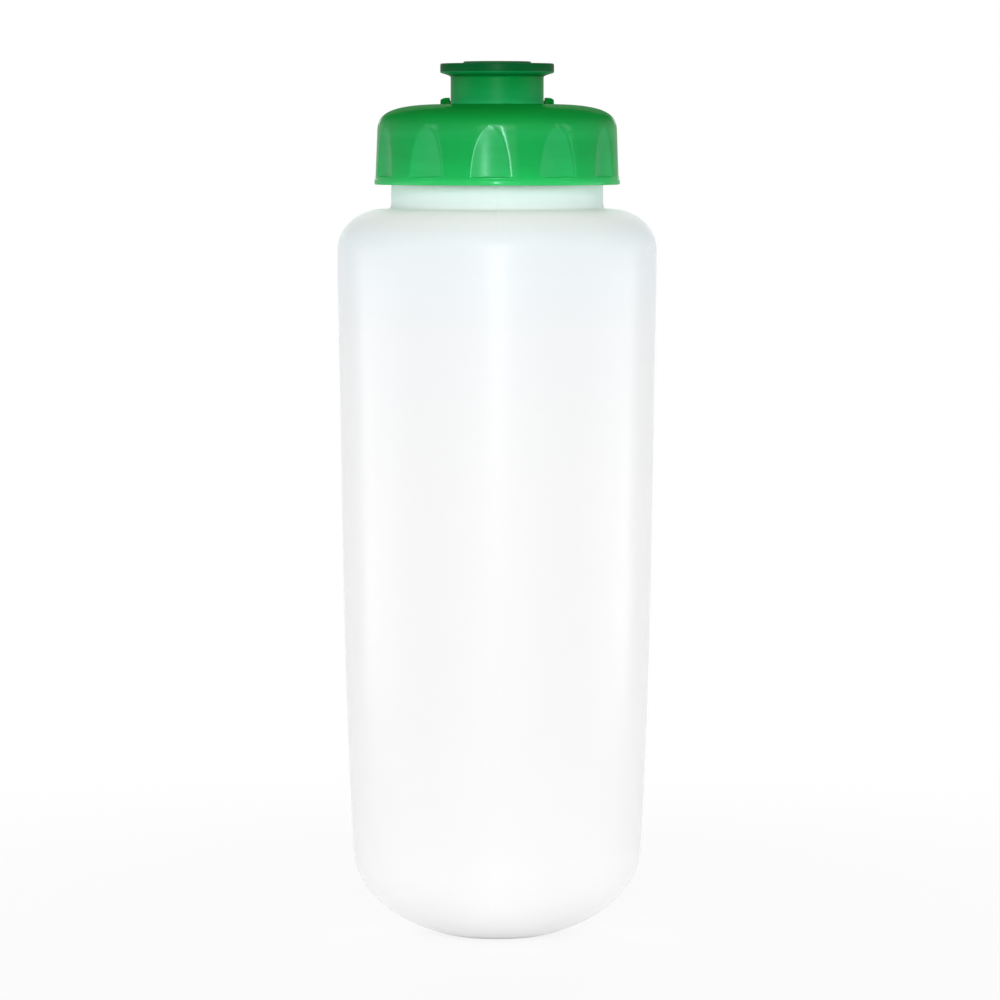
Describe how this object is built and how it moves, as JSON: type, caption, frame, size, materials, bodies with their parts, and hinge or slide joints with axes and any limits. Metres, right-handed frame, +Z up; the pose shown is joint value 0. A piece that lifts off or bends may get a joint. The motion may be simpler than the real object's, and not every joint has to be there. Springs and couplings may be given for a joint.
{
  "type": "squeeze bottle with flip lid",
  "caption": "Milky squeeze bottle with a round heel, short threaded neck and green fluted screw cap; a flanged flip lid on a rear hinge covers the spout.",
  "frame": {"origin": "centre of the foot, on the surface the bottle stands on", "axes": "+Z up along the bottle's axis, +Y towards the lid's hinge at the back, -Y the front"},
  "size_m": [0.0782, 0.0782, 0.2148],
  "materials": {
    "bottle": "milky translucent polyethylene, satin",
    "cap": "moulded green polypropylene, glossy",
    "lid": "moulded green polypropylene, satin",
    "plug": "soft green thermoplastic rubber",
    "liner": "white foamed sealing ring",
    "valve": "clear silicone",
    "retainer": "natural polypropylene",
    "pin": "green polypropylene"
  },
  "bodies": {
    "bottle": {"bottle": "bottle"},
    "liner": {"cap_liner": "liner"},
    "cap": {"screw_cap": "cap", "dispensing_valve": "valve", "valve_retainer": "retainer", "hinge_pin": "pin"},
    "lid": {"flip_lid": "lid", "lid_plug": "plug"}
  },
  "joints": [
    {"name": "cap_lift", "type": "slide", "parent": "bottle", "child": "liner", "axis": [0, 0, 1], "range_m": [0, 0.0169]},
    {"name": "cap_turn", "type": "hinge", "parent": "liner", "child": "cap", "pos_m": [0, 0, 0.1985], "axis": [0, 0, 1], "range_deg": [0, 1440]},
    {"name": "lid_flip", "type": "hinge", "parent": "cap", "child": "lid", "pos_m": [0, 0.0143, 0.2047], "axis": [-1, 0, 0], "range_deg": [0, 97]}
  ],
  "couplings": [
    {"joint": "cap_lift", "follows": "cap_turn", "m_per_rad": 0.00066845}
  ]
}
